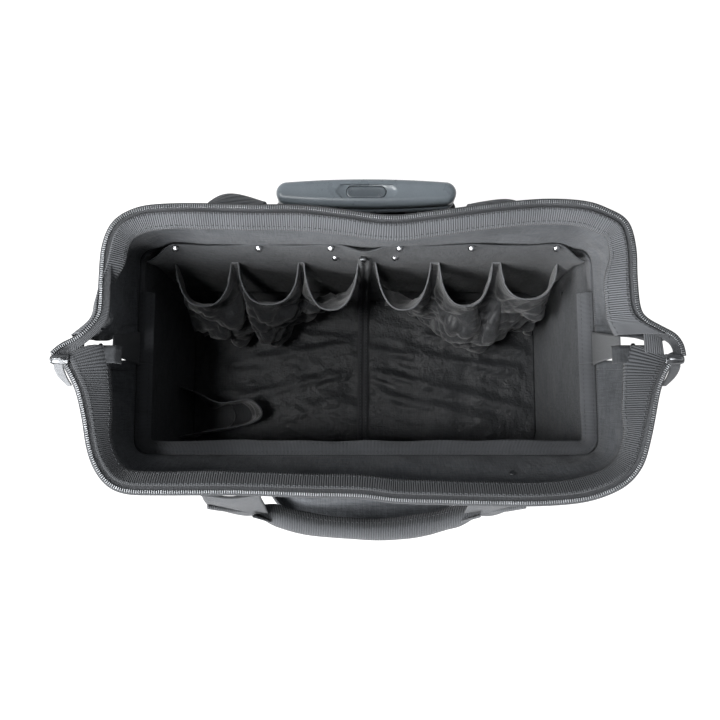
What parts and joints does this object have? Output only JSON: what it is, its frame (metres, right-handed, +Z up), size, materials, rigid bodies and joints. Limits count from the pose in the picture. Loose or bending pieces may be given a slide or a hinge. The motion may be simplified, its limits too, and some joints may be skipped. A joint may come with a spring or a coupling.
{
  "type": "rolling wide-mouth tool bag",
  "caption": "Soft charcoal tool bag on wheels with a hinged wide mouth, inner tool pockets, webbing carry handles and a telescopic trolley with a push-button grip.",
  "frame": {"origin": "middle of the footprint, on the floor that the wheels and feet stand on", "axes": "+X across the bag, +Y towards the trolley, +Z up"},
  "size_m": [0.5444, 0.3466, 0.405],
  "materials": {
    "body_fabric": "charcoal plain-weave polyester",
    "lining_fabric": "dark coated lining cloth",
    "webbing": "ribbed grosgrain webbing",
    "zip": "zip tape with metal-look teeth",
    "grip_plastic": "satin blue-grey moulding",
    "button_plastic": "smooth button moulding",
    "base_plastic": "textured black moulding",
    "tyre": "matt black rubber",
    "tube_aluminium": "satin drawn tube",
    "steel": "plated steel"
  },
  "bodies": {
    "bag": {"base_tray": "base_plastic", "floor_board": "lining_fabric", "front_panel": "body_fabric", "rear_panel": "body_fabric", "side_panel_left": "body_fabric", "side_panel_right": "body_fabric", "side_gusset_left": "body_fabric", "side_gusset_right": "body_fabric", "front_binding": "webbing", "rear_binding": "webbing", "rear_lining": "lining_fabric", "tool_pockets_left": "lining_fabric", "tool_pockets_right": "lining_fabric", "corner_pocket": "lining_fabric", "front_pocket": "body_fabric", "front_foot_left": "base_plastic", "front_foot_right": "base_plastic", "wheel_housing_left": "base_plastic", "wheel_housing_right": "base_plastic", "axle_left": "steel", "axle_right": "steel", "trolley_collar": "base_plastic", "trolley_bracket": "base_plastic", "trolley_sleeve": "body_fabric", "outer_tube_left": "tube_aluminium", "outer_tube_right": "tube_aluminium"},
    "front_frame": {"front_frame_bar": "steel", "front_band": "webbing", "front_zip": "zip", "front_flap": "body_fabric", "pivot_rivet_left": "steel", "pivot_rivet_right": "steel", "zip_end_left": "zip", "zip_end_right": "zip", "zip_slider_left": "steel", "zip_slider_right": "steel"},
    "rear_frame": {"rear_frame_bar": "steel", "rear_band": "webbing", "rear_zip": "zip", "rear_flap": "body_fabric"},
    "front_handle": {"front_handle": "webbing"},
    "rear_handle": {"rear_handle": "webbing"},
    "pull_left": {"zip_pull_left": "steel"},
    "pull_right": {"zip_pull_right": "steel"},
    "mid_stage": {"mid_tube_left": "tube_aluminium", "mid_tube_right": "tube_aluminium"},
    "handle_stage": {"inner_tube_left": "tube_aluminium", "inner_tube_right": "tube_aluminium", "grip_top": "grip_plastic", "grip_bottom": "grip_plastic", "button_spring": "steel"},
    "release_button": {"release_button": "button_plastic", "release_yoke": "steel"},
    "lock_bolt_left": {"lock_bolt_left": "steel"},
    "lock_bolt_right": {"lock_bolt_right": "steel"},
    "left_wheel": {"wheel_hub_left": "base_plastic", "tyre_left": "tyre"},
    "right_wheel": {"wheel_hub_right": "base_plastic", "tyre_right": "tyre"}
  },
  "joints": [
    {"name": "front_mouth", "type": "hinge", "parent": "bag", "child": "front_frame", "pos_m": [0, -0.0949, 0.2924], "axis": [-1, 0, 0], "range_deg": [0, 83.4], "deforming": ["front_flap", "side_gusset_left", "side_gusset_right"]},
    {"name": "rear_mouth", "type": "hinge", "parent": "bag", "child": "rear_frame", "pos_m": [0, 0.1069, 0.3098], "axis": [1, 0, 0], "range_deg": [0, 83.4], "deforming": ["rear_flap"]},
    {"name": "front_handle_swing", "type": "hinge", "parent": "front_frame", "child": "front_handle", "pos_m": [0, -0.12825, 0.384], "axis": [-1, 0, 0], "range_deg": [0, 68]},
    {"name": "rear_handle_swing", "type": "hinge", "parent": "rear_frame", "child": "rear_handle", "pos_m": [0, 0.12375, 0.384], "axis": [1, 0, 0], "range_deg": [0, 4]},
    {"name": "pull_left_swing", "type": "hinge", "parent": "front_frame", "child": "pull_left", "pos_m": [-0.2714, -0.01175, 0.4008], "axis": [0, 1, 0], "range_deg": [0, 110]},
    {"name": "pull_right_swing", "type": "hinge", "parent": "front_frame", "child": "pull_right", "pos_m": [0.2714, -0.01175, 0.4008], "axis": [0, -1, 0], "range_deg": [0, 110]},
    {"name": "trolley_lower", "type": "slide", "parent": "bag", "child": "mid_stage", "axis": [0, 0, 1], "range_m": [0, 0.235]},
    {"name": "trolley_upper", "type": "slide", "parent": "mid_stage", "child": "handle_stage", "axis": [0, 0, 1], "range_m": [0, 0.235]},
    {"name": "button_press", "type": "slide", "parent": "handle_stage", "child": "release_button", "axis": [0, 0, -1], "range_m": [0, 0.004], "stiffness_N_per_m": 1200, "springref_m": -0.003, "deforming": ["button_spring"]},
    {"name": "bolt_left_draw", "type": "slide", "parent": "handle_stage", "child": "lock_bolt_left", "axis": [1, 0, 0], "range_m": [0, 0.0015]},
    {"name": "bolt_right_draw", "type": "slide", "parent": "handle_stage", "child": "lock_bolt_right", "axis": [-1, 0, 0], "range_m": [0, 0.0015]},
    {"name": "left_wheel_roll", "type": "hinge", "parent": "bag", "child": "left_wheel", "pos_m": [-0.208, 0.13725, 0.036], "axis": [1, 0, 0], "continuous": true},
    {"name": "right_wheel_roll", "type": "hinge", "parent": "bag", "child": "right_wheel", "pos_m": [0.208, 0.13725, 0.036], "axis": [1, 0, 0], "continuous": true}
  ],
  "couplings": [
    {"joint": "rear_mouth", "follows": "front_mouth", "ratio": 1},
    {"joint": "bolt_left_draw", "follows": "button_press", "ratio": 0.375},
    {"joint": "bolt_right_draw", "follows": "button_press", "ratio": 0.375}
  ]
}
